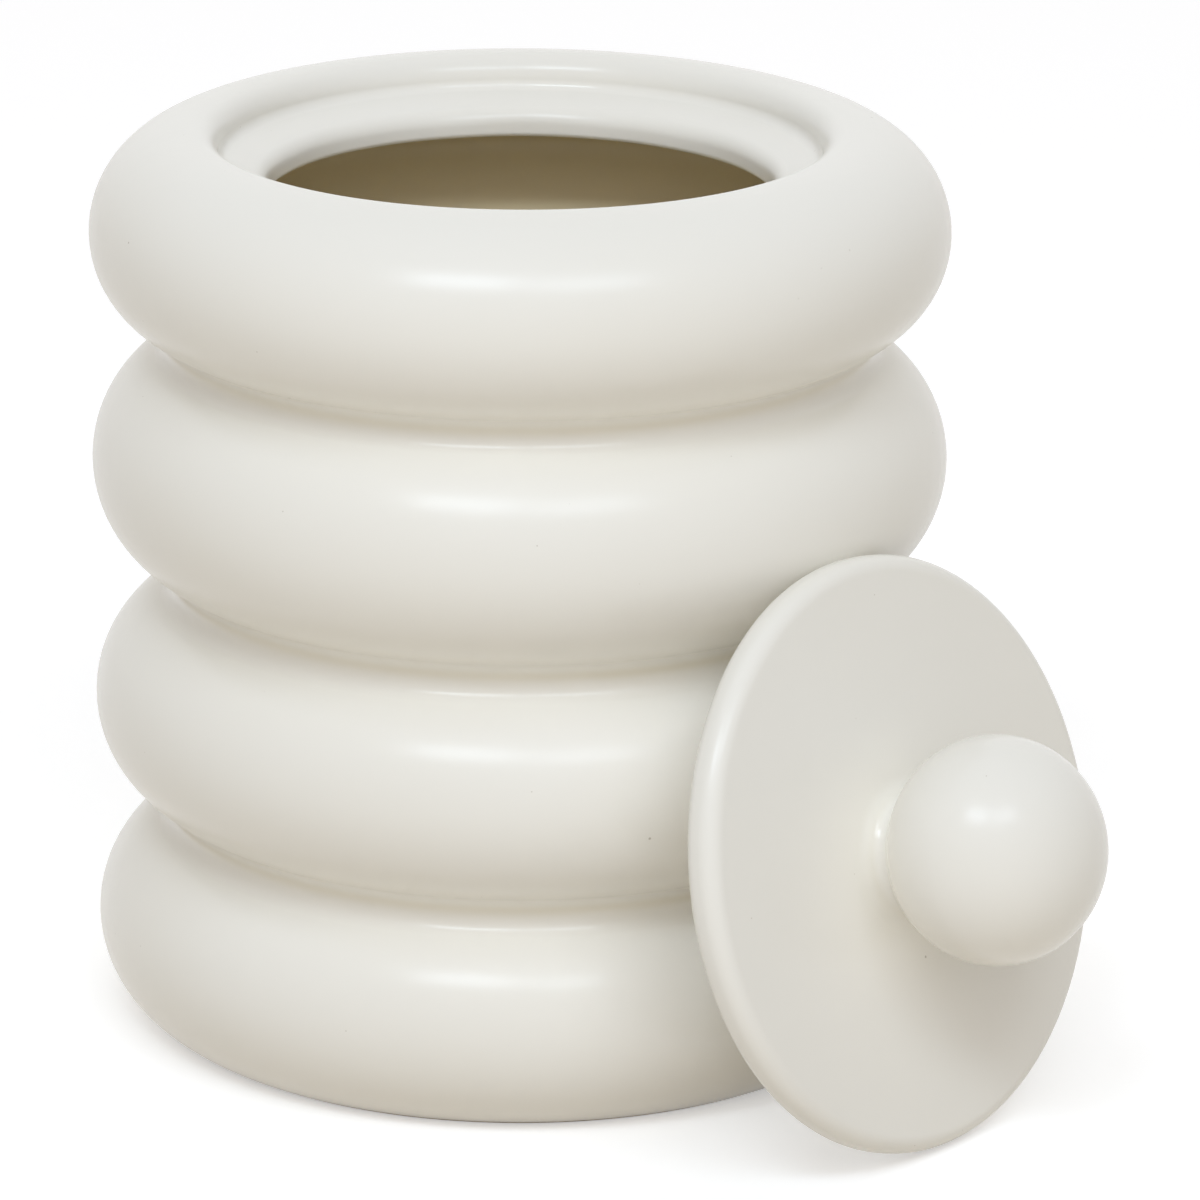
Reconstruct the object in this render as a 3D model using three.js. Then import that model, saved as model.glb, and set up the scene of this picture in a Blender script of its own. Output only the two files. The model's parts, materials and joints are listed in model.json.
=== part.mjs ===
// A lidded ceramic jar of four stacked rings, its lid taken off and leaning against its side.
// Millimetres, +Z up. The origin is the middle of the jar's foot, on the table.
import * as THREE from 'three';

const degrees = THREE.MathUtils.degToRad;

// Jar: four rounded rings, counted from the foot up
const JAR_RADIUS = 75; // widest radius of every ring
const RING_ROUNDS = [19, 19.3, 21.1, 17.8]; // radius of each ring's round section
const CREASE_GAPS = [2.6, 2.9, 1.8]; // height between the round sections of two neighbours
const CREASE_FILLETS = [4, 4, 3.5]; // soft inside corner above each ring but the top one
const FOOT_CUT = 1.8; // how deep the flat foot cuts into the lowest ring
const WALL = 5.5; // thickness of the cast wall and floor

// Mouth: the lid's recess, the sloping ledge that carries the lid, and the throat
const RECESS_RADIUS = 52.5;
const RECESS_DEPTH = 5.6; // from the crest of the top ring to the ledge at the recess wall
const RIM_ROUND = 4; // roll of the rim into the recess
const SEAT_FILLET = 2; // corner between the recess wall and the ledge
const LEDGE_SLOPE = degrees(17); // fall of the ledge towards the mouth
const SHELF_THICKNESS = 5; // clay between the ledge and the inside
const MOUTH_RADIUS = 44;
const LIP_ROUND = 3.2; // upper edge of the throat
const THROAT_ROUND = 1; // lower edge of the throat

// Lid: a round plate with a ball knob luted on
const LID_CLEARANCE = 1.7; // from the lid's edge to the recess wall
const PLATE_THICKNESS = 6.5;
const PLATE_TOP_ROUND = 3; // edge on the knob's side
const PLATE_BACK_ROUND = 2.5; // edge on the jar's side
const KNOB_RADIUS = 19.5; // across the ball
const KNOB_HALF_HEIGHT = 18; // the ball is a little flat along its axis
const NECK_HEIGHT = 1.3; // from the plate to the underside of the ball
const NECK_RADIUS = 9.5;
const NECK_FLARE = 3; // spread of the neck's foot over the plate
const LUTE_GAP = 0.3; // joint between the knob and the plate
const RELIEF_RADIUS = 4; // blind hole that lets the knob dry and fire evenly

// Where the lid leans: it stands on its lower edge, with its top edge against a ring
const LEAN_AZIMUTH = degrees(-44.7); // direction from the jar's axis to the lid
const LEAN_ANGLE = degrees(14.9); // tilt of the lid's axis above the level
const LID_TURN = degrees(4.7); // how far the lid faces off the straight line from the jar
const LEAN_GAP = 0.3; // from the lid to the ring that it leans on
const TABLE_GAP = 0.1; // from the lid's lower edge to the table

// Fineness of the round shapes
const JAR_SIDES = 48;
const LID_SIDES = 48;
const KNOB_SIDES = 32;
const RING_STEP = degrees(22);
const INSIDE_STEP = degrees(30);
const FILLET_STEP = degrees(45);
const EDGE_STEP = degrees(30);

// Satin off-white glaze over the whole jar and lid
const GLAZE_COLOUR = 0xe6e4dc;
const GLAZE_ROUGHNESS = 0.42;

function glaze() {
  return new THREE.MeshStandardMaterial({ color: GLAZE_COLOUR, roughness: GLAZE_ROUGHNESS, metalness: 0 });
}

// A profile is a list of points: x is the distance from the axis and y the height.
function point(x, y) {
  return new THREE.Vector2(x, y);
}

// The point at a distance and an angle from a centre
function polar(centre, radius, angle) {
  return point(centre.x + radius * Math.cos(angle), centre.y + radius * Math.sin(angle));
}

// Points along an arc about a centre, both ends included
function arc(centre, radius, from, to, step) {
  const count = Math.ceil(Math.abs(to - from) / step);
  const points = [];
  for (let i = 0; i <= count; i += 1) {
    points.push(polar(centre, radius, from + ((to - from) * i) / count));
  }
  return points;
}

// Direction of one point seen from another
function bearing(from, to) {
  return Math.atan2(to.y - from.y, to.x - from.x);
}

// Turns a profile about the axis into a closed solid standing along +Z
function turned(name, profile, sides) {
  const geometry = new THREE.LatheGeometry(profile, sides);
  geometry.rotateX(Math.PI / 2);
  const mesh = new THREE.Mesh(geometry, glaze());
  mesh.name = name;
  return mesh;
}

// Round sections of the rings: centre and radius, from the foot up
const rings = [];
RING_ROUNDS.forEach((radius, i) => {
  const below = rings[i - 1];
  const height = below ? below.centre.y + below.radius + CREASE_GAPS[i - 1] + radius : radius - FOOT_CUT;
  rings.push({ centre: point(JAR_RADIUS - radius, height), radius });
});
const bottomRing = rings[0];
const topRing = rings[rings.length - 1];
const crestHeight = topRing.centre.y + topRing.radius;

// Fillet in the crease above a ring: its centre lies the fillet's radius away from both rings
function crease(lower, upper, fillet) {
  const toLower = lower.radius + fillet;
  const toUpper = upper.radius + fillet;
  const apart = lower.centre.distanceTo(upper.centre);
  const along = (apart ** 2 + toLower ** 2 - toUpper ** 2) / (2 * apart);
  const turn = bearing(lower.centre, upper.centre) - Math.acos(along / toLower);
  const centre = polar(lower.centre, toLower, turn);
  return { centre, fillet, fromLower: turn, fromUpper: bearing(upper.centre, centre) };
}
const creases = rings.slice(1).map((upper, i) => crease(rings[i], upper, CREASE_FILLETS[i]));

// One side of the wall from the foot up. The inside is the outside set in by the wall.
function stackedRings(inset, footAngle, topAngle, step) {
  const points = [];
  rings.forEach((ring, i) => {
    const start = i > 0 ? creases[i - 1].fromUpper : footAngle;
    const end = i < creases.length ? creases[i].fromLower : topAngle;
    points.push(...arc(ring.centre, ring.radius - inset, start, end, step));
    if (i < creases.length) {
      const { centre, fillet, fromLower, fromUpper } = creases[i];
      const bend = arc(centre, fillet + inset, fromLower + Math.PI, fromUpper + Math.PI, FILLET_STEP);
      points.push(...bend.slice(1, -1));
    }
  });
  return points;
}

// Angle at which a ring's section, set in by the inset, passes a height below its centre
function angleAtHeight(ring, inset, height) {
  return Math.asin((height - ring.centre.y) / (ring.radius - inset));
}

function jarProfile() {
  // The rim rolls from the top ring into the recess wall.
  const rimReach = topRing.radius - RIM_ROUND;
  const rimX = RECESS_RADIUS + RIM_ROUND;
  const rimRise = Math.sqrt(rimReach ** 2 - (rimX - topRing.centre.x) ** 2);
  const rim = point(rimX, topRing.centre.y + rimRise);
  const rimStart = bearing(topRing.centre, rim);

  // The ledge falls from the foot of the recess wall towards the mouth.
  const fall = Math.tan(LEDGE_SLOPE);
  const slant = 1 / Math.cos(LEDGE_SLOPE);
  const ledgeAt = (x) => crestHeight - RECESS_DEPTH - (RECESS_RADIUS - x) * fall;
  const seatX = RECESS_RADIUS - SEAT_FILLET;
  const seat = point(seatX, ledgeAt(seatX) + SEAT_FILLET * slant);
  const lipX = MOUTH_RADIUS + LIP_ROUND;
  const lip = point(lipX, ledgeAt(lipX) - LIP_ROUND * slant);

  // The underside of the shelf runs level with the ledge until it meets the inside of the top ring.
  const undersideAt = (x) => ledgeAt(x) - SHELF_THICKNESS;
  const throatX = MOUTH_RADIUS + THROAT_ROUND;
  const throat = point(throatX, undersideAt(throatX) + THROAT_ROUND * slant);
  const along = point(Math.cos(LEDGE_SLOPE), Math.sin(LEDGE_SLOPE));
  const offset = point(MOUTH_RADIUS, undersideAt(MOUTH_RADIUS)).sub(topRing.centre);
  const half = offset.dot(along);
  const insideRound = topRing.radius - WALL;
  const reach = Math.sqrt(half ** 2 - offset.lengthSq() + insideRound ** 2) - half;
  const meeting = offset.addScaledVector(along, reach);

  const outside = stackedRings(0, angleAtHeight(bottomRing, 0, 0), rimStart, RING_STEP);
  const floorAngle = angleAtHeight(bottomRing, WALL, WALL);
  const inside = stackedRings(WALL, floorAngle, meeting.angle(), INSIDE_STEP);
  return [
    point(0, 0),
    ...outside,
    ...arc(rim, RIM_ROUND, rimStart, Math.PI, EDGE_STEP).slice(1),
    ...arc(seat, SEAT_FILLET, 0, LEDGE_SLOPE - Math.PI / 2, EDGE_STEP),
    ...arc(lip, LIP_ROUND, Math.PI / 2 + LEDGE_SLOPE, Math.PI, EDGE_STEP),
    ...arc(throat, THROAT_ROUND, Math.PI, (3 * Math.PI) / 2 + LEDGE_SLOPE, FILLET_STEP),
    ...inside.reverse(),
    point(0, WALL),
  ];
}

// The plate stands on its back face, with a hole in the middle that leads into the knob.
const lidRadius = RECESS_RADIUS - LID_CLEARANCE;
const plateBackEdge = point(lidRadius - PLATE_BACK_ROUND, PLATE_BACK_ROUND);
const plateTopEdge = point(lidRadius - PLATE_TOP_ROUND, PLATE_THICKNESS - PLATE_TOP_ROUND);

function plateProfile() {
  return [
    point(RELIEF_RADIUS, 0),
    ...arc(plateBackEdge, PLATE_BACK_ROUND, -Math.PI / 2, 0, EDGE_STEP),
    ...arc(plateTopEdge, PLATE_TOP_ROUND, 0, Math.PI / 2, EDGE_STEP),
    point(RELIEF_RADIUS, PLATE_THICKNESS),
    point(RELIEF_RADIUS, 0),
  ];
}

// The knob stands on the joint: a flared foot, the neck, then the ball.
function knobProfile() {
  const ball = point(0, NECK_HEIGHT + KNOB_HALF_HEIGHT);
  const neckAngle = -Math.acos(NECK_RADIUS / KNOB_RADIUS);
  const flat = KNOB_HALF_HEIGHT / KNOB_RADIUS;
  const outline = arc(point(0, 0), KNOB_RADIUS, neckAngle, Math.PI / 2, RING_STEP);
  const ballSide = outline.map((p) => point(p.x, ball.y + p.y * flat));
  const flare = point(NECK_RADIUS + NECK_FLARE, LUTE_GAP + NECK_FLARE);
  return [
    point(0, ball.y),
    point(RELIEF_RADIUS, ball.y),
    point(RELIEF_RADIUS, LUTE_GAP),
    ...arc(flare, NECK_FLARE, (3 * Math.PI) / 2, Math.PI, EDGE_STEP),
    ...ballSide,
  ];
}

// Height of the plate's back face at its middle, with the lower edge just off the table
function lidHeight() {
  const dropOf = (edge, round) => edge.x * Math.cos(LEAN_ANGLE) - edge.y * Math.sin(LEAN_ANGLE) + round;
  const backDrop = dropOf(plateBackEdge, PLATE_BACK_ROUND);
  const topDrop = dropOf(plateTopEdge, PLATE_TOP_ROUND);
  return TABLE_GAP + Math.max(backDrop, topDrop);
}

// Distance of the plate's back face from the jar's axis, for the lid to clear one ring
function standOff(ring, height) {
  const outward = point(Math.cos(LEAN_ANGLE), Math.sin(LEAN_ANGLE));
  const upward = point(-Math.sin(LEAN_ANGLE), Math.cos(LEAN_ANGLE));
  const clear = ring.radius + LEAN_GAP;
  const facing = (ring.centre.dot(outward) + clear - height * outward.y) / outward.x;
  const ringUp = ring.centre.clone().sub(point(facing, height)).dot(upward);
  if (Math.abs(ringUp) <= plateBackEdge.x) {
    return facing;
  }
  // The ring lies past the plate's edge, so the rounded edge is what meets it.
  const edge = point(0, height);
  edge.addScaledVector(upward, Math.sign(ringUp) * plateBackEdge.x);
  edge.addScaledVector(outward, plateBackEdge.y);
  const rise = edge.y - ring.centre.y;
  const reach = clear + PLATE_BACK_ROUND;
  return ring.centre.x + Math.sqrt(Math.max(0, reach ** 2 - rise ** 2)) - edge.x;
}

const jar = turned('jar_body', jarProfile(), JAR_SIDES);
const plate = turned('lid_plate', plateProfile(), LID_SIDES);
const knob = turned('lid_knob', knobProfile(), KNOB_SIDES);
knob.position.z = PLATE_THICKNESS;

// The lid is tipped about its own middle, then carried round the jar to where it leans.
const lid = new THREE.Group();
lid.add(plate, knob);
lid.rotation.set(0, Math.PI / 2 - LEAN_ANGLE, LID_TURN, 'ZYX');
lid.position.z = lidHeight();
lid.position.x = Math.max(...rings.map((ring) => standOff(ring, lid.position.z)));
const leaning = new THREE.Group();
leaning.add(lid);
leaning.rotation.z = LEAN_AZIMUTH;

const ringJar = new THREE.Group();
ringJar.add(jar, leaning);

export default ringJar;
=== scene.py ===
import json
import math

import bpy
from mathutils import Matrix, Vector


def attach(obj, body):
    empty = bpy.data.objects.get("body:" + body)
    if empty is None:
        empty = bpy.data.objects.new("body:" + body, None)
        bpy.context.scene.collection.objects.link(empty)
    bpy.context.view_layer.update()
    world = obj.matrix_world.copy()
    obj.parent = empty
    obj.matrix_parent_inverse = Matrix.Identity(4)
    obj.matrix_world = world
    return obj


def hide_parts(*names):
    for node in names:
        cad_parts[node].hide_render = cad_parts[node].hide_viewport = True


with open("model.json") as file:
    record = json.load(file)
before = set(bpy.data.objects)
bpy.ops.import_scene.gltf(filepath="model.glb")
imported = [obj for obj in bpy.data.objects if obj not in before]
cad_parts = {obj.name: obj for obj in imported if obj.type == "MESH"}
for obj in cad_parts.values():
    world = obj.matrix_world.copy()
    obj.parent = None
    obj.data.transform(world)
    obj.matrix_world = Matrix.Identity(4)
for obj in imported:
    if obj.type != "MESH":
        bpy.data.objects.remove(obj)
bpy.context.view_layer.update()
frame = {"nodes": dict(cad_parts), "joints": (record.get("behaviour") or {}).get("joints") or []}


# Jar body: a hollow jar of four stacked rings, cast in one piece from white clay.
# Its recessed mouth has a sloping ledge that carries the lid, and a short throat below it.
# A satin off-white glaze covers it inside and out; it stands on a flat foot of bare clay.
JAR_RADIUS = 0.075
RING_ROUNDS = (0.019, 0.0193, 0.0211, 0.0178)
CREASE_GAPS = (0.0026, 0.0029, 0.0018)
CREASE_FILLETS = (0.004, 0.004, 0.0035)
FOOT_CUT = 0.0018
WALL = 0.0055
RECESS_RADIUS = 0.0525
RECESS_DEPTH = 0.0056
RIM_ROUND = 0.004
SEAT_FILLET = 0.002
LEDGE_SLOPE = math.radians(17)
SHELF_THICKNESS = 0.005
MOUTH_RADIUS = 0.044
LIP_ROUND = 0.0032
THROAT_ROUND = 0.001
CLAY_HEIGHT = 0.0009
JAR_SIDES = 192
OUTSIDE_STEP = math.radians(5)
INSIDE_STEP = math.radians(8)
EDGE_STEP = math.radians(10)
SHARP_ANGLE = math.radians(50)


def polar(centre, radius, angle):
    """The point at a distance and an angle from a centre, as radius and height."""
    return centre + Vector((radius * math.cos(angle), radius * math.sin(angle)))


def arc(centre, radius, start, end, step):
    """Points along an arc about a centre, both ends included."""
    count = math.ceil(abs(end - start) / step)
    return [polar(centre, radius, start + (end - start) * i / count) for i in range(count + 1)]


def bearing(start, end):
    """Direction of one point seen from another."""
    return math.atan2(end.y - start.y, end.x - start.x)


ring_centres = []
for i, ring_round in enumerate(RING_ROUNDS):
    if i == 0:
        height = ring_round - FOOT_CUT
    else:
        height = ring_centres[-1].y + RING_ROUNDS[i - 1] + CREASE_GAPS[i - 1] + ring_round
    ring_centres.append(Vector((JAR_RADIUS - ring_round, height)))
top_centre = ring_centres[-1]
crest_height = top_centre.y + RING_ROUNDS[-1]


def crease_between(lower):
    """Centre of the fillet above a ring, and its bearings from that ring and the next."""
    to_lower = RING_ROUNDS[lower] + CREASE_FILLETS[lower]
    to_upper = RING_ROUNDS[lower + 1] + CREASE_FILLETS[lower]
    below = ring_centres[lower]
    above = ring_centres[lower + 1]
    apart = (above - below).length
    along = (apart ** 2 + to_lower ** 2 - to_upper ** 2) / (2 * apart)
    turn = bearing(below, above) - math.acos(along / to_lower)
    centre = polar(below, to_lower, turn)
    return centre, turn, bearing(above, centre)


creases = [crease_between(lower) for lower in range(len(RING_ROUNDS) - 1)]


def stacked_rings(inset, foot_angle, top_angle, step):
    """One side of the wall from the foot up; the inside is the outside set in by the wall."""
    points = []
    for i, centre in enumerate(ring_centres):
        start = creases[i - 1][2] if i > 0 else foot_angle
        end = creases[i][1] if i < len(creases) else top_angle
        points += arc(centre, RING_ROUNDS[i] - inset, start, end, step)
        if i < len(creases):
            bend, from_lower, from_upper = creases[i]
            fillet = CREASE_FILLETS[i] + inset
            points += arc(bend, fillet, from_lower + math.pi, from_upper + math.pi, step)[1:-1]
    return points


def angle_at_height(inset, height):
    """Angle at which the lowest ring, set in by the inset, passes a height below its centre."""
    return math.asin((height - ring_centres[0].y) / (RING_ROUNDS[0] - inset))


def ledge_height(radius):
    """Height of the sloping ledge at a distance from the axis."""
    return crest_height - RECESS_DEPTH - (RECESS_RADIUS - radius) * math.tan(LEDGE_SLOPE)


slant = 1 / math.cos(LEDGE_SLOPE)
rim_across = RECESS_RADIUS + RIM_ROUND - top_centre.x
rim_rise = math.sqrt((RING_ROUNDS[-1] - RIM_ROUND) ** 2 - rim_across ** 2)
rim = top_centre + Vector((rim_across, rim_rise))
rim_start = bearing(top_centre, rim)
seat_radius = RECESS_RADIUS - SEAT_FILLET
seat = Vector((seat_radius, ledge_height(seat_radius) + SEAT_FILLET * slant))
lip_radius = MOUTH_RADIUS + LIP_ROUND
lip = Vector((lip_radius, ledge_height(lip_radius) - LIP_ROUND * slant))
throat_radius = MOUTH_RADIUS + THROAT_ROUND
throat = Vector((throat_radius, ledge_height(throat_radius) - SHELF_THICKNESS + THROAT_ROUND * slant))

# The underside of the shelf runs level with the ledge until it meets the inside of the top ring.
along_ledge = Vector((math.cos(LEDGE_SLOPE), math.sin(LEDGE_SLOPE)))
offset = Vector((MOUTH_RADIUS, ledge_height(MOUTH_RADIUS) - SHELF_THICKNESS)) - top_centre
half = offset.dot(along_ledge)
reach = math.sqrt(half ** 2 - offset.length_squared + (RING_ROUNDS[-1] - WALL) ** 2) - half
meeting = offset + along_ledge * reach

outside = stacked_rings(0, angle_at_height(0, 0), rim_start, OUTSIDE_STEP)
mouth = arc(rim, RIM_ROUND, rim_start, math.pi, EDGE_STEP)[1:]
mouth += arc(seat, SEAT_FILLET, 0, LEDGE_SLOPE - math.pi / 2, EDGE_STEP)
mouth += arc(lip, LIP_ROUND, math.pi / 2 + LEDGE_SLOPE, math.pi, EDGE_STEP)
mouth += arc(throat, THROAT_ROUND, math.pi, 1.5 * math.pi + LEDGE_SLOPE, EDGE_STEP)
floor_angle = angle_at_height(WALL, WALL)
inside = stacked_rings(WALL, floor_angle, math.atan2(meeting.y, meeting.x), INSIDE_STEP)
inside.reverse()
foot_middle = Vector((0, 0))
floor_middle = Vector((0, WALL))
jar_outline = [foot_middle, *outside, *mouth, *inside, floor_middle]

# Glaze gathers in the creases and at the foot of the recess, where it is glossier.
# A crease bottom is painted deeper in colour, partly for the pooled glaze and partly as painted shade;
# the whole inside is painted a warm, deep tint, which is painted shade.
POOL_AND_SHADE_REACH = 0.0010
GLOSS_REACH = 0.0035
POOL_ANGLE = math.radians(-12)
SEAT_FOOT_ANGLE = math.radians(-45)


def gathering(outline, middles, reach):
    """A weight at each outline point: 1 at a middle, and less with distance from it; it places pooled
    glaze, painted shade and gloss.
    """
    nearest = [min((spot - middle).length for middle in middles) for spot in outline]
    return [math.exp(-((distance / reach) ** 2)) for distance in nearest]


pools = [polar(bend, -fillet, POOL_ANGLE) for (bend, *_), fillet in zip(creases, CREASE_FILLETS)]
seat_foot = polar(seat, SEAT_FILLET, SEAT_FOOT_ANGLE)
jar_pooling_and_shade = gathering(jar_outline, pools, POOL_AND_SHADE_REACH)
jar_gloss = gathering(jar_outline, [*pools, seat_foot], GLOSS_REACH)
outside_count = 1 + len(outside) + len(mouth)
# Painted shade: every inside point is marked for the warm, deep tint.
jar_hollow_shade = [float(i >= outside_count) for i in range(len(jar_outline))]

# The casting is a shade out of round, and the trimmed throat wavers a little.
# Each wave has its count round the jar, its share and the angle at which it starts.
OUT_OF_ROUND = 0.00010
JAR_WAVES = ((2, 1.0, 0.7), (3, 0.5, 2.1))
THROAT_WAVER = 0.00012
THROAT_WAVES = ((5, 1.0, -1.1708), (8, 0.6, 0.3292), (13, 0.5, -1.5708))
THROAT_REACH = 0.003
throat_spot = polar(throat, THROAT_ROUND, math.pi)


def ripple(angle, waves):
    """Sum of the waves at an angle round the axis."""
    return sum(share * math.cos(count * angle + start) for count, share, start in waves)


def jar_sway(angle, spot):
    """How far the jar's surface stands out from a true turning."""
    oval = OUT_OF_ROUND * ripple(angle, JAR_WAVES) * spot.x / JAR_RADIUS
    near_throat = math.exp(-(((spot - throat_spot).length / THROAT_REACH) ** 2))
    return oval + THROAT_WAVER * near_throat * ripple(angle, THROAT_WAVES)


def turned_piece(name, outline, sides, sway, markings):
    """A closed mesh turned from an outline; each marking has one value for each outline point."""
    vertices = []
    loops = []
    marks = {key: [] for key in markings}
    for i, spot in enumerate(outline):
        count = sides if spot.x > 0 else 1
        loops.append([len(vertices) + k for k in range(count)])
        for k in range(count):
            angle = 2 * math.pi * k / sides
            radius = spot.x + sway(angle, spot) if spot.x > 0 else 0
            vertices.append((radius * math.cos(angle), radius * math.sin(angle), spot.y))
        for key, values in markings.items():
            marks[key] += [values[i]] * count
    faces = []
    for lower, upper in zip(loops, loops[1:]):
        for k in range(sides):
            after = (k + 1) % sides
            if len(lower) == 1:
                faces.append((lower[0], upper[after], upper[k]))
            elif len(upper) == 1:
                faces.append((lower[k], lower[after], upper[0]))
            else:
                faces.append((lower[k], lower[after], upper[after], upper[k]))
    mesh = bpy.data.meshes.new(name)
    mesh.from_pydata(vertices, [], faces)
    for key, values in marks.items():
        mesh.attributes.new(key, "FLOAT", "POINT").data.foreach_set("value", values)
    mesh.shade_smooth()
    mesh.set_sharp_from_angle(angle=SHARP_ANGLE)
    piece = bpy.data.objects.new(name, mesh)
    bpy.context.scene.collection.objects.link(piece)
    return piece


def feed(tree, socket, value):
    """Links an output to a socket, or sets the socket to a plain value."""
    if isinstance(value, bpy.types.NodeSocket):
        tree.links.new(value, socket)
    else:
        socket.default_value = value


def new_material(name):
    """An empty material with its shader and object coordinates."""
    material = bpy.data.materials.new(name)
    material.use_nodes = True
    tree = material.node_tree
    shader = tree.nodes["Principled BSDF"]
    place = tree.nodes.new("ShaderNodeTexCoord").outputs["Object"]
    return material, tree, shader, place


def grain(tree, place, scale, detail):
    """Noise over the surface, with so many patches to the metre."""
    noise = tree.nodes.new("ShaderNodeTexNoise")
    feed(tree, noise.inputs["Vector"], place)
    noise.inputs["Scale"].default_value = scale
    noise.inputs["Detail"].default_value = detail
    return noise.outputs["Fac"]


def soft_step(tree, value, low, high, start, end):
    """Carries a value smoothly from start to end while it goes from low to high."""
    step = tree.nodes.new("ShaderNodeMapRange")
    step.interpolation_type = "SMOOTHSTEP"
    for socket, entry in zip(step.inputs, (value, low, high, start, end)):
        feed(tree, socket, entry)
    return step.outputs["Result"]


def times(tree, first, second):
    """Product of two values."""
    product = tree.nodes.new("ShaderNodeMath")
    product.operation = "MULTIPLY"
    feed(tree, product.inputs[0], first)
    feed(tree, product.inputs[1], second)
    return product.outputs["Value"]


# Places of the colour sockets among all the sockets of Blender's mix node
MIX_SHARE = 0
MIX_FIRST = 6
MIX_SECOND = 7
MIX_RESULT = 2


def blend(tree, share, first, second):
    """One colour over another, by a share from 0 to 1."""
    mix = tree.nodes.new("ShaderNodeMix")
    mix.data_type = "RGBA"
    feed(tree, mix.inputs[MIX_SHARE], share)
    feed(tree, mix.inputs[MIX_FIRST], first)
    feed(tree, mix.inputs[MIX_SECOND], second)
    return mix.outputs[MIX_RESULT]


def marking(tree, key):
    """A value that the mesh carries for each of its points."""
    attribute = tree.nodes.new("ShaderNodeAttribute")
    attribute.attribute_name = key
    return attribute.outputs["Fac"]


SPECK_CORE = 0.5
CHOICE_EDGE = 0.001


def specks(tree, place, per_metre, radius, share):
    """Small round spots, one in some of the cells of a grid with so many cells to the metre."""
    cells = tree.nodes.new("ShaderNodeTexVoronoi")
    feed(tree, cells.inputs["Vector"], place)
    cells.inputs["Scale"].default_value = per_metre
    edge = radius * per_metre
    spot = soft_step(tree, cells.outputs["Distance"], edge * SPECK_CORE, edge, 1.0, 0.0)
    chance = tree.nodes.new("ShaderNodeSeparateColor")
    feed(tree, chance.inputs["Color"], cells.outputs["Color"])
    bare = 1 - share
    chosen = soft_step(tree, chance.outputs["Red"], bare, bare + CHOICE_EDGE, 0.0, 1.0)
    return times(tree, spot, chosen)


def bump(tree, height, strength, depth, under=None):
    """Turns a height pattern into relief, over other relief if there is any."""
    relief = tree.nodes.new("ShaderNodeBump")
    relief.inputs["Strength"].default_value = strength
    relief.inputs["Distance"].default_value = depth
    feed(tree, relief.inputs["Height"], height)
    if under:
        feed(tree, relief.inputs["Normal"], under)
    return relief.outputs["Normal"]


def grained(tree, place, pattern, under=None):
    """Relief from noise: its patches to the metre, detail, strength and depth."""
    scale, detail, strength, depth = pattern
    return bump(tree, grain(tree, place, scale, detail), strength, depth, under)


# Satin glaze: off-white and faintly clouded, with a few iron specks and pinholes.
# Specks and pinholes have their cells to the metre, their radius and the share of cells with one.
GLAZE_PALE = (0.906, 0.884, 0.818, 1)
GLAZE_CREAM = (0.897, 0.873, 0.803, 1)
# Painted shade, partly pooled glaze: the deeper colour at the bottom of the creases and round the
# knob's neck.
GLAZE_POOLED_AND_SHADED = (0.840, 0.800, 0.690, 1)
# Painted shade: the warm, deep tint all over the inside of the jar and of the knob's hole.
GLAZE_HOLLOW_SHADE = (0.830, 0.730, 0.500, 1)
IRON_SPECK = (0.360, 0.300, 0.220, 1)
GLAZE_IOR = 1.45
CLOUDS_PER_METRE = 14
CLOUD_DETAIL = 1
CLOUD_SPAN = (0.35, 0.65)
LARGE_SPECKS = (110, 0.0003, 0.5)
LARGE_SPECK_SHADE = 0.55
FINE_SPECKS = (190, 0.00016, 0.5)
FINE_SPECK_SHADE = 0.4
SHEEN_PER_METRE = 70
SHEEN_DETAIL = 3
NOISE_SPAN = (0.3, 0.7)
SATIN_ROUGHNESS = (0.250, 0.268)
POOL_SMOOTHNESS = 0.55
GLAZE_WAVES = (32, 1, 0.35, 0.0006)
GLAZE_PEEL = (650, 2, 0.12, 0.00006)
PINHOLES = (240, 0.00025, 0.6)
PINHOLE_STRENGTH = -0.4
PINHOLE_DEPTH = 0.00012


def satin_glaze(name):
    """The glaze of the jar and the lid, with painted shade: deeper in the creases, where glaze also
    pools, and warm inside.
    """
    material, tree, shader, place = new_material(name)
    clouds = grain(tree, place, CLOUDS_PER_METRE, CLOUD_DETAIL)
    colour = blend(tree, soft_step(tree, clouds, *CLOUD_SPAN, 0.0, 1.0), GLAZE_CREAM, GLAZE_PALE)
    # Painted shade, partly pooled glaze, at the crease bottoms and the knob's neck.
    colour = blend(tree, marking(tree, "pooling_and_shade"), colour, GLAZE_POOLED_AND_SHADED)
    # Painted shade: the warm, deep tint all over the inside.
    colour = blend(tree, marking(tree, "hollow"), colour, GLAZE_HOLLOW_SHADE)
    large_specks = specks(tree, place, *LARGE_SPECKS)
    fine_specks = specks(tree, place, *FINE_SPECKS)
    colour = blend(tree, times(tree, large_specks, LARGE_SPECK_SHADE), colour, IRON_SPECK)
    colour = blend(tree, times(tree, fine_specks, FINE_SPECK_SHADE), colour, IRON_SPECK)
    feed(tree, shader.inputs["Base Color"], colour)
    sheen_patches = grain(tree, place, SHEEN_PER_METRE, SHEEN_DETAIL)
    satin = soft_step(tree, sheen_patches, *NOISE_SPAN, *SATIN_ROUGHNESS)
    smoother = soft_step(tree, marking(tree, "gloss"), 0.0, 1.0, 1.0, POOL_SMOOTHNESS)
    feed(tree, shader.inputs["Roughness"], times(tree, satin, smoother))
    waves = grained(tree, place, GLAZE_WAVES)
    peel = grained(tree, place, GLAZE_PEEL, waves)
    pitted = bump(tree, specks(tree, place, *PINHOLES), PINHOLE_STRENGTH, PINHOLE_DEPTH, peel)
    feed(tree, shader.inputs["Normal"], pitted)
    shader.inputs["IOR"].default_value = GLAZE_IOR
    return material


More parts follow.
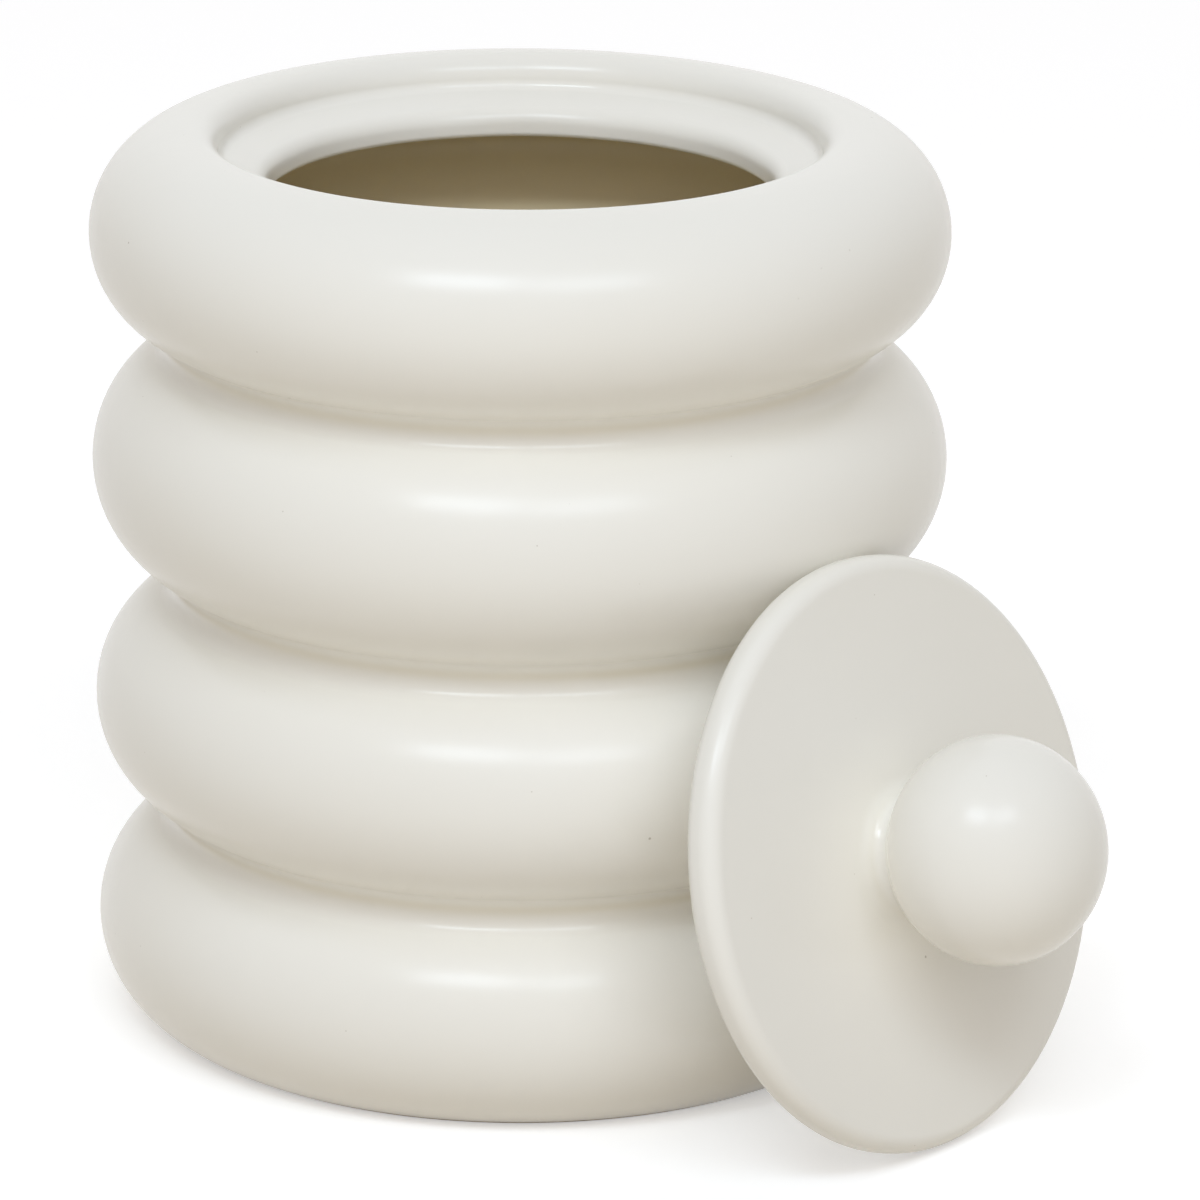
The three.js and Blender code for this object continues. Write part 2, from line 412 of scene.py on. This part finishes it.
CLAY_DARK = (0.66, 0.59, 0.48, 1)
CLAY_PALE = (0.74, 0.68, 0.58, 1)
CLAY_PATCHES_PER_METRE = 120
CLAY_DETAIL = 6
CLAY_SPECKS = (400, 0.0004, 0.5)
CLAY_SPECK_SHADE = 0.35
CLAY_ROUGHNESS = (0.8, 0.95)
CLAY_GRIT = (1400, 3, 0.4, 0.0002)


def bare_clay(name):
    """Fired clay without glaze: pale, dry and finely gritty."""
    material, tree, shader, place = new_material(name)
    patches = grain(tree, place, CLAY_PATCHES_PER_METRE, CLAY_DETAIL)
    tone = soft_step(tree, patches, *NOISE_SPAN, 0.0, 1.0)
    colour = blend(tree, tone, CLAY_DARK, CLAY_PALE)
    clay_specks = specks(tree, place, *CLAY_SPECKS)
    colour = blend(tree, times(tree, clay_specks, CLAY_SPECK_SHADE), colour, IRON_SPECK)
    feed(tree, shader.inputs["Base Color"], colour)
    feed(tree, shader.inputs["Roughness"], soft_step(tree, tone, 0.0, 1.0, *CLAY_ROUGHNESS))
    feed(tree, shader.inputs["Normal"], grained(tree, place, CLAY_GRIT))
    return material


jar_markings = {"pooling_and_shade": jar_pooling_and_shade, "gloss": jar_gloss, "hollow": jar_hollow_shade}
jar = turned_piece("ring_jar", jar_outline, JAR_SIDES, jar_sway, jar_markings)
jar.data.materials.append(satin_glaze("jar_satin_glaze"))
jar.data.materials.append(bare_clay("foot_clay"))
for face in jar.data.polygons:
    face.material_index = int(face.center.z < CLAY_HEIGHT)
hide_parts("jar_body")
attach(jar, "jar")


# Lid: a round plate with a ball knob, both cast, joined with slip and glazed as one piece.
# The soft neck between them is a fillet of glaze and slip; a blind hole runs up into the knob.
# It is loose, and leans with its lower edge on the table and its back against the jar.
PLATE_TOP_ROUND = 0.003
PLATE_BACK_ROUND = 0.0025
KNOB_HALF_HEIGHT = 0.018
NECK_FOOT_RADIUS = 0.0135
NECK_ANGLE = math.radians(-55)
NECK_PULL = 0.0035
NECK_STEPS = 12
RELIEF_RADIUS = 0.004
LID_WAVES = ((3, 1.0, 0.9),)
LID_SIDES = 160
LID_BEND_STEP = math.radians(10)
BALL_STEP = math.radians(4)

lid_axis = Vector(frame["joints"][0]["axis"]).normalized()
lid_across = Vector((0, 0, 1)).cross(lid_axis).normalized()
lid_upward = lid_axis.cross(lid_across)


def span(node, direction):
    """Lowest and highest reach of a node along a direction."""
    reaches = [direction.dot(vertex.co) for vertex in frame["nodes"][node].data.vertices]
    return min(reaches), max(reaches)


back_face, top_face = span("lid_plate", lid_axis)
left_edge, right_edge = span("lid_plate", lid_across)
lower_edge, upper_edge = span("lid_plate", lid_upward)
plate_thickness = top_face - back_face
lid_radius = (upper_edge - lower_edge) / 2
knob_left, knob_right = span("lid_knob", lid_across)
knob_radius = (knob_right - knob_left) / 2
ball_height = span("lid_knob", lid_axis)[1] - back_face - KNOB_HALF_HEIGHT

back_bend = Vector((lid_radius - PLATE_BACK_ROUND, PLATE_BACK_ROUND))
top_bend = Vector((lid_radius - PLATE_TOP_ROUND, plate_thickness - PLATE_TOP_ROUND))


def ball_spot(angle):
    """Point of the slightly flattened ball at an angle above its widest line."""
    return Vector((knob_radius * math.cos(angle), ball_height + KNOB_HALF_HEIGHT * math.sin(angle)))


def neck_curve():
    """The soft hollow from the plate up to the ball, running smoothly into both."""
    foot = Vector((NECK_FOOT_RADIUS, plate_thickness))
    head = ball_spot(NECK_ANGLE)
    away = Vector((-knob_radius * math.sin(NECK_ANGLE), KNOB_HALF_HEIGHT * math.cos(NECK_ANGLE)))
    foot_pull = foot - Vector((NECK_PULL, 0))
    head_pull = head - away.normalized() * NECK_PULL
    points = []
    for i in range(NECK_STEPS + 1):
        t = i / NECK_STEPS
        start = foot * (1 - t) ** 3 + foot_pull * 3 * t * (1 - t) ** 2
        points.append(start + head_pull * 3 * t ** 2 * (1 - t) + head * t ** 3)
    return points


ball_sweep = math.pi / 2 - NECK_ANGLE
ball_count = math.ceil(ball_sweep / BALL_STEP)
ball_side = [ball_spot(NECK_ANGLE + ball_sweep * i / ball_count) for i in range(1, ball_count)]
lid_outline = [
    Vector((0, ball_height)),
    Vector((RELIEF_RADIUS, ball_height)),
    Vector((RELIEF_RADIUS, 0)),
    *arc(back_bend, PLATE_BACK_ROUND, -math.pi / 2, 0, LID_BEND_STEP),
    *arc(top_bend, PLATE_TOP_ROUND, 0, math.pi / 2, LID_BEND_STEP),
    *neck_curve(),
    *ball_side,
    Vector((0, ball_height + KNOB_HALF_HEIGHT)),
]

neck_middle = Vector((NECK_FOOT_RADIUS - NECK_PULL, plate_thickness))
# The neck's crease is painted deeper, partly for pooled glaze and partly as painted shade.
lid_pooling_and_shade = gathering(lid_outline, [neck_middle], POOL_AND_SHADE_REACH)
lid_gloss = gathering(lid_outline, [neck_middle], GLOSS_REACH)
# Painted shade: the knob's hole is given the same warm, deep inside tint.
lid_hollow_shade = [float(spot.x <= RELIEF_RADIUS and spot.y <= ball_height) for spot in lid_outline]


def lid_sway(angle, spot):
    """How far the lid's surface stands out from a true turning."""
    return OUT_OF_ROUND * ripple(angle, LID_WAVES) * spot.x / lid_radius


lid_markings = {"pooling_and_shade": lid_pooling_and_shade, "gloss": lid_gloss, "hollow": lid_hollow_shade}
lid = turned_piece("knob_lid", lid_outline, LID_SIDES, lid_sway, lid_markings)
lid_middle = lid_axis * back_face + lid_across * (left_edge + right_edge) / 2
lid_middle += lid_upward * (lower_edge + upper_edge) / 2
lid_turn = Matrix((lid_across, lid_upward, lid_axis)).transposed().to_4x4()
lid.data.transform(Matrix.Translation(lid_middle) @ lid_turn)
lid.data.materials.append(satin_glaze("lid_satin_glaze"))
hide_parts("lid_plate", "lid_knob")
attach(lid, "lid")


# Table: a plain white sheet under the jar, wide enough to fill the view.
# It is matt paper that lies flat, and the soft shadows of the jar and the lid fall on it.
# Straight to the eye, or in a reflection, it is lifted until its lit part is white.
TABLE_HALF = 4.0
PAPER_WARM = (0.73, 0.67, 0.575, 1)
PAPER_WHITE = (0.80, 0.80, 0.80, 1)
PAPER_GRAIN = (900, 4, 0.2, 0.0001)
TABLE_LIFT = 0.42
WHITE = (1.0, 1.0, 1.0, 1)

table_mesh = bpy.data.meshes.new("table")
corners = [(-1, -1), (1, -1), (1, 1), (-1, 1)]
table_mesh.from_pydata([(x * TABLE_HALF, y * TABLE_HALF, 0) for x, y in corners], [], [(0, 1, 2, 3)])
table = bpy.data.objects.new("table", table_mesh)
bpy.context.scene.collection.objects.link(table)


def seen_directly(tree):
    """1 for rays from the eye, a reflection or through glass, and 0 for light that falls on things."""
    rays = tree.nodes.new("ShaderNodeLightPath").outputs
    total = rays["Is Camera Ray"]
    for name in ("Is Glossy Ray", "Is Transmission Ray"):
        either = tree.nodes.new("ShaderNodeMath")
        either.operation = "MAXIMUM"
        feed(tree, either.inputs[0], total)
        feed(tree, either.inputs[1], rays[name])
        total = either.outputs["Value"]
    return total


table_material, table_tree, table_shader, table_place = new_material("white_paper")
table_seen = seen_directly(table_tree)
paper_colour = blend(table_tree, table_seen, PAPER_WARM, PAPER_WHITE)
feed(table_tree, table_shader.inputs["Base Color"], paper_colour)
feed(table_tree, table_shader.inputs["Normal"], grained(table_tree, table_place, PAPER_GRAIN))
table_shader.inputs["Roughness"].default_value = 1.0
table_shader.inputs["Specular IOR Level"].default_value = 0.0
table_shader.inputs["Emission Color"].default_value = WHITE
feed(table_tree, table_shader.inputs["Emission Strength"], times(table_tree, table_seen, TABLE_LIFT))
table_mesh.materials.append(table_material)


# Studio light: a white tent with bright cloth in front of the jar and behind it, and dim sides.
# Two soft boxes hang above and in front; they show as soft streaks along the rings and on the knob.
# Straight to the eye, or in a reflection, the tent is plain white.
TENT_FRONT = (0.0, -0.788, 0.616)
FRONT_SHARPNESS = 4
TENT_BACK = (0.0, 1.0, 0.0)
BACK_SHARPNESS = 1
FRONT_LIGHT = (1.50, 1.45, 1.45, 1)
BACK_LIGHT = (1.40, 1.39, 1.37, 1)
SIDE_LIGHT = (0.08, 0.08, 0.08, 1)
LAMP_COLOUR = (0.86, 1.0, 1.14)

# Each soft box has its place, width, height and power.
LAMPS = {
    "left_box": (Vector((-0.268, -0.811, 1.08)), 0.50, 0.28, 3.0),
    "right_box": (Vector((0.330, -0.829, 1.05)), 0.54, 0.28, 1.9),
}
jar_middle = Vector((0, 0, crest_height / 2))

world = bpy.data.worlds.new("white_tent")
world.use_nodes = True
bpy.context.scene.world = world
tent = world.node_tree
backdrop = tent.nodes["Background"]
outlook = tent.nodes.new("ShaderNodeTexCoord").outputs["Generated"]


def facing(way, sharpness):
    """How squarely the tent's cloth lies one way: 1 straight ahead, falling to 0 at the side."""
    along = tent.nodes.new("ShaderNodeVectorMath")
    along.operation = "DOT_PRODUCT"
    feed(tent, along.inputs[0], outlook)
    feed(tent, along.inputs[1], way)
    ahead = tent.nodes.new("ShaderNodeMath")
    ahead.operation = "MAXIMUM"
    feed(tent, ahead.inputs[0], along.outputs["Value"])
    feed(tent, ahead.inputs[1], 0.0)
    gathered = tent.nodes.new("ShaderNodeMath")
    gathered.operation = "POWER"
    feed(tent, gathered.inputs[0], ahead.outputs["Value"])
    feed(tent, gathered.inputs[1], sharpness)
    return gathered.outputs["Value"]


cloth = blend(tent, facing(TENT_BACK, BACK_SHARPNESS), SIDE_LIGHT, BACK_LIGHT)
cloth = blend(tent, facing(TENT_FRONT, FRONT_SHARPNESS), cloth, FRONT_LIGHT)
feed(tent, backdrop.inputs["Color"], blend(tent, seen_directly(tent), cloth, WHITE))

for name, (place, width, height, power) in LAMPS.items():
    lamp = bpy.data.lights.new(name, "AREA")
    lamp.shape = "RECTANGLE"
    lamp.size = width
    lamp.size_y = height
    lamp.energy = power
    lamp.color = LAMP_COLOUR
    stand = bpy.data.objects.new(name, lamp)
    stand.location = place
    stand.rotation_euler = (place - jar_middle).to_track_quat("Z", "Y").to_euler()
    bpy.context.scene.collection.objects.link(stand)


# Camera: a long lens in front of the jar, a little above it, looking along +Y.
# It aims just right of the jar's axis, so that the leaning lid is in the picture.
AIM = Vector((0.01424, 0, 0.07383))
CAMERA_DISTANCE = 1.2281
CAMERA_ELEVATION = math.radians(17.95)
CAMERA_ROLL = math.radians(0.351)
LENS_MM = 207.78
SENSOR_MM = 36

camera_data = bpy.data.cameras.new("camera")
camera_data.lens = LENS_MM
camera_data.sensor_width = SENSOR_MM
camera = bpy.data.objects.new("camera", camera_data)
forward = Vector((0, math.cos(CAMERA_ELEVATION), -math.sin(CAMERA_ELEVATION)))
level_right = Vector((1, 0, 0))
level_up = level_right.cross(forward)
camera_right = level_right * math.cos(CAMERA_ROLL) + level_up * math.sin(CAMERA_ROLL)
camera_up = level_up * math.cos(CAMERA_ROLL) - level_right * math.sin(CAMERA_ROLL)
camera_turn = Matrix((camera_right, camera_up, -forward)).transposed().to_4x4()
camera.matrix_world = Matrix.Translation(AIM - forward * CAMERA_DISTANCE) @ camera_turn
bpy.context.scene.collection.objects.link(camera)
bpy.context.scene.camera = camera
bpy.context.scene.view_settings.view_transform = "Standard"
